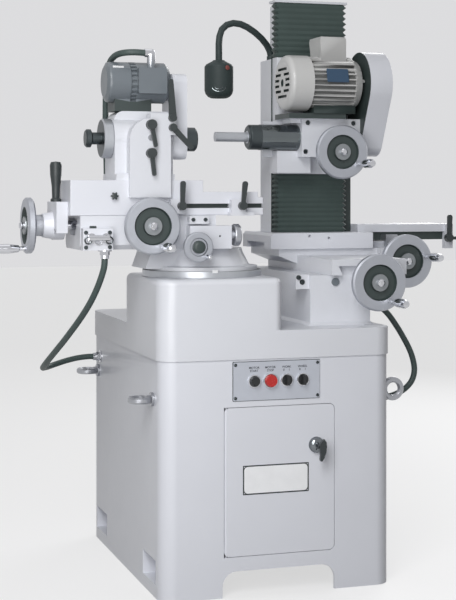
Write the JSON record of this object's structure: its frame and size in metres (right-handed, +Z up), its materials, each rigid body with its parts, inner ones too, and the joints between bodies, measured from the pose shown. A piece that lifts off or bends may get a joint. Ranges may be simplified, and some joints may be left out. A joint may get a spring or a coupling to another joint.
{
  "type": "tool and cutter grinder",
  "caption": "Cabinet-mounted tool and cutter grinder with a swivelling work table and spindle head on the left and a wheel head on a bellows-covered column on the right.",
  "frame": {"origin": "middle of the cabinet's footprint, on the floor, between the four anchor holes", "axes": "+X to the right of a person at the door, +Y to the back, +Z up"},
  "size_m": [1.4442, 0.887, 1.611],
  "materials": {
    "paint": "semi-gloss machine enamel",
    "steel": "ground",
    "panel": "brushed",
    "chrome": "polished",
    "handwheel": "turned and satin",
    "black_lever": "satin black",
    "black_switch": "gloss",
    "red_switch": "gloss",
    "slate_motor": "satin enamel",
    "pale_motor": "satin enamel",
    "bellows": "matte coated cloth",
    "conduit": "matte sheath",
    "belt": "matte"
  },
  "bodies": {
    "base": {"cabinet": "paint", "base_casting": "paint", "swivel_seat_ring": "steel", "wheel_way_base": "paint", "control_panel": "panel", "electrical_plate": "panel", "lifting_eyes": "steel", "door_hinge_pins": "steel", "conduit_glands": "chrome", "left_conduit": "conduit", "right_conduit": "conduit"},
    "door": {"door": "paint"},
    "door_handle": {"door_handle": "chrome"},
    "start_button": {"start_button": "black_switch"},
    "stop_button": {"stop_button": "red_switch"},
    "left_selector": {"left_selector": "black_switch"},
    "right_selector": {"right_selector": "black_switch"},
    "swivel": {"swivel_base": "paint", "work_saddle": "paint", "work_switch_box": "paint", "fine_feed_box": "paint"},
    "front_handwheel": {"front_handwheel": "handwheel"},
    "fine_handwheel": {"fine_handwheel": "handwheel"},
    "fine_clutch_knob": {"fine_clutch_knob": "steel"},
    "table": {"work_table": "paint", "screw_bracket": "paint", "table_handle": "black_lever", "trip_dogs": "paint", "head_casting": "paint", "work_motor": "slate_motor", "work_belt_guard": "paint", "motor_conduit": "conduit", "work_belt": "belt"},
    "table_handwheel": {"table_handwheel": "handwheel"},
    "left_dog_lever": {"left_dog_lever": "black_lever"},
    "right_dog_lever": {"right_dog_lever": "black_lever"},
    "upper_head_lever": {"upper_head_lever": "black_lever"},
    "lower_head_lever": {"lower_head_lever": "black_lever"},
    "motor_clamp_lever": {"motor_clamp_lever": "black_lever"},
    "guard_clamp_lever": {"guard_clamp_lever": "black_lever"},
    "work_spindle": {"work_spindle": "steel"},
    "work_motor_pulley": {"work_motor_pulley": "steel"},
    "cross_slide": {"wheel_saddle": "paint"},
    "cross_handwheel": {"cross_handwheel": "handwheel"},
    "long_slide": {"long_slide": "paint", "column": "paint", "elevating_screw": "steel", "lower_bellows": "bellows", "upper_bellows": "bellows"},
    "long_handwheel": {"long_handwheel": "handwheel"},
    "stop_lever": {"stop_lever": "black_lever"},
    "wheel_head": {"wheelhead": "paint", "wheel_motor": "pale_motor", "wheel_belt_guard": "paint", "spindle_cartridge": "steel", "wheel_belt": "belt"},
    "vertical_handwheel": {"vertical_handwheel": "handwheel"},
    "wheel_spindle": {"wheel_spindle": "steel"},
    "wheel_motor_pulley": {"wheel_motor_pulley": "steel"},
    "lamp": {"work_lamp": "black_lever"}
  },
  "joints": [
    {"name": "door_swing", "type": "hinge", "parent": "base", "child": "door", "pos_m": [-0.144, -0.394, 0.2975], "axis": [0, 0, -1], "range_deg": [0, 100]},
    {"name": "door_handle_turn", "type": "hinge", "parent": "door", "child": "door_handle", "pos_m": [0.103, -0.4, 0.384], "axis": [0, 1, 0], "range_deg": [0, 90]},
    {"name": "start_press", "type": "slide", "parent": "base", "child": "start_button", "axis": [0, 1, 0], "range_m": [0, 0.004], "stiffness_N_per_m": 900},
    {"name": "stop_press", "type": "slide", "parent": "base", "child": "stop_button", "axis": [0, 1, 0], "range_m": [0, 0.004], "stiffness_N_per_m": 900},
    {"name": "left_selector_turn", "type": "hinge", "parent": "base", "child": "left_selector", "pos_m": [0.01915, -0.4, 0.558], "axis": [0, 1, 0], "range_deg": [-45, 45]},
    {"name": "right_selector_turn", "type": "hinge", "parent": "base", "child": "right_selector", "pos_m": [0.06385, -0.4, 0.558], "axis": [0, 1, 0], "range_deg": [-45, 45]},
    {"name": "work_swivel", "type": "hinge", "parent": "base", "child": "swivel", "pos_m": [-0.157, -0.216, 0.842], "axis": [0, 0, 1], "range_deg": [-30, 15], "deforming": ["left_conduit"]},
    {"name": "front_handwheel_turn", "type": "hinge", "parent": "swivel", "child": "front_handwheel", "pos_m": [-0.338, -0.348, 0.962], "axis": [0, 1, 0], "range_deg": [-661, 121]},
    {"name": "table_traverse", "type": "slide", "parent": "swivel", "child": "table", "axis": [1, 0, 0], "range_m": [-0.11, 0.02]},
    {"name": "table_handwheel_turn", "type": "hinge", "parent": "table", "child": "table_handwheel", "pos_m": [-0.592, -0.216, 0.962], "axis": [1, 0, 0], "range_deg": [-3961, 721]},
    {"name": "fine_handwheel_turn", "type": "hinge", "parent": "swivel", "child": "fine_handwheel", "pos_m": [-0.222, -0.386, 0.908], "axis": [0, 1, 0], "continuous": true},
    {"name": "fine_knob_turn", "type": "hinge", "parent": "swivel", "child": "fine_clutch_knob", "pos_m": [-0.115, -0.332, 0.936], "axis": [1, 0, 0], "range_deg": [0, 360]},
    {"name": "left_dog_lever_turn", "type": "hinge", "parent": "table", "child": "left_dog_lever", "pos_m": [-0.248, -0.336, 1.013], "axis": [0, 1, 0], "range_deg": [-30, 40]},
    {"name": "right_dog_lever_turn", "type": "hinge", "parent": "table", "child": "right_dog_lever", "pos_m": [-0.082, -0.336, 1.013], "axis": [0, 1, 0], "range_deg": [-30, 40]},
    {"name": "upper_head_lever_turn", "type": "hinge", "parent": "table", "child": "upper_head_lever", "pos_m": [-0.328, -0.327, 1.224], "axis": [0, 1, 0], "range_deg": [-20, 40]},
    {"name": "lower_head_lever_turn", "type": "hinge", "parent": "table", "child": "lower_head_lever", "pos_m": [-0.328, -0.327, 1.15], "axis": [0, 1, 0], "range_deg": [-20, 40]},
    {"name": "motor_lever_turn", "type": "hinge", "parent": "table", "child": "motor_clamp_lever", "pos_m": [-0.271, -0.327, 1.242], "axis": [0, 1, 0], "range_deg": [-20, 30]},
    {"name": "guard_lever_turn", "type": "hinge", "parent": "table", "child": "guard_clamp_lever", "pos_m": [-0.27, -0.327, 1.217], "axis": [0, 1, 0], "range_deg": [-10, 40]},
    {"name": "work_spindle_spin", "type": "hinge", "parent": "table", "child": "work_spindle", "pos_m": [-0.335, -0.237, 1.19], "axis": [1, 0, 0], "continuous": true},
    {"name": "work_motor_pulley_spin", "type": "hinge", "parent": "table", "child": "work_motor_pulley", "pos_m": [-0.24, -0.227, 1.339], "axis": [1, 0, 0], "continuous": true},
    {"name": "cross_handwheel_turn", "type": "hinge", "parent": "base", "child": "cross_handwheel", "pos_m": [0.29, -0.346, 0.806], "axis": [0, 1, 0], "range_deg": [-2161, 8641]},
    {"name": "cross_traverse", "type": "slide", "parent": "base", "child": "cross_slide", "axis": [0, 1, 0], "range_m": [-0.03, 0.12]},
    {"name": "long_handwheel_turn", "type": "hinge", "parent": "cross_slide", "child": "long_handwheel", "pos_m": [0.489, -0.09, 0.849], "axis": [0, 1, 0], "range_deg": [-4321, 4321]},
    {"name": "long_traverse", "type": "slide", "parent": "cross_slide", "child": "long_slide", "axis": [1, 0, 0], "range_m": [-0.06, 0.06]},
    {"name": "stop_lever_turn", "type": "hinge", "parent": "long_slide", "child": "stop_lever", "pos_m": [0.683, 0.002, 0.911], "axis": [0, 1, 0], "range_deg": [-40, 40]},
    {"name": "vertical_handwheel_turn", "type": "hinge", "parent": "wheel_head", "child": "vertical_handwheel", "pos_m": [0.284, -0.097, 1.163], "axis": [0, 1, 0], "range_deg": [-5761, 5761]},
    {"name": "head_elevation", "type": "slide", "parent": "long_slide", "child": "wheel_head", "axis": [0, 0, 1], "range_m": [-0.08, 0.08], "deforming": ["lower_bellows", "upper_bellows"]},
    {"name": "wheel_spindle_spin", "type": "hinge", "parent": "wheel_head", "child": "wheel_spindle", "pos_m": [0.034, -0.03, 1.206], "axis": [1, 0, 0], "continuous": true},
    {"name": "wheel_motor_pulley_spin", "type": "hinge", "parent": "wheel_head", "child": "wheel_motor_pulley", "pos_m": [0.37, -0.0613, 1.361], "axis": [1, 0, 0], "continuous": true},
    {"name": "lamp_swivel", "type": "hinge", "parent": "long_slide", "child": "lamp", "pos_m": [0.151, 0.098, 1.44], "axis": [0, 0, 1], "range_deg": [-25, 25]}
  ],
  "couplings": [
    {"joint": "front_handwheel_turn", "follows": "table_traverse", "rad_per_m": 104.72},
    {"joint": "table_handwheel_turn", "follows": "table_traverse", "rad_per_m": 628.32},
    {"joint": "work_motor_pulley_spin", "follows": "work_spindle_spin", "ratio": 2.7143},
    {"joint": "cross_handwheel_turn", "follows": "cross_traverse", "rad_per_m": 1256.6},
    {"joint": "long_handwheel_turn", "follows": "long_traverse", "rad_per_m": 1256.6},
    {"joint": "vertical_handwheel_turn", "follows": "head_elevation", "rad_per_m": 1256.6},
    {"joint": "wheel_motor_pulley_spin", "follows": "wheel_spindle_spin", "ratio": 0.66667}
  ]
}
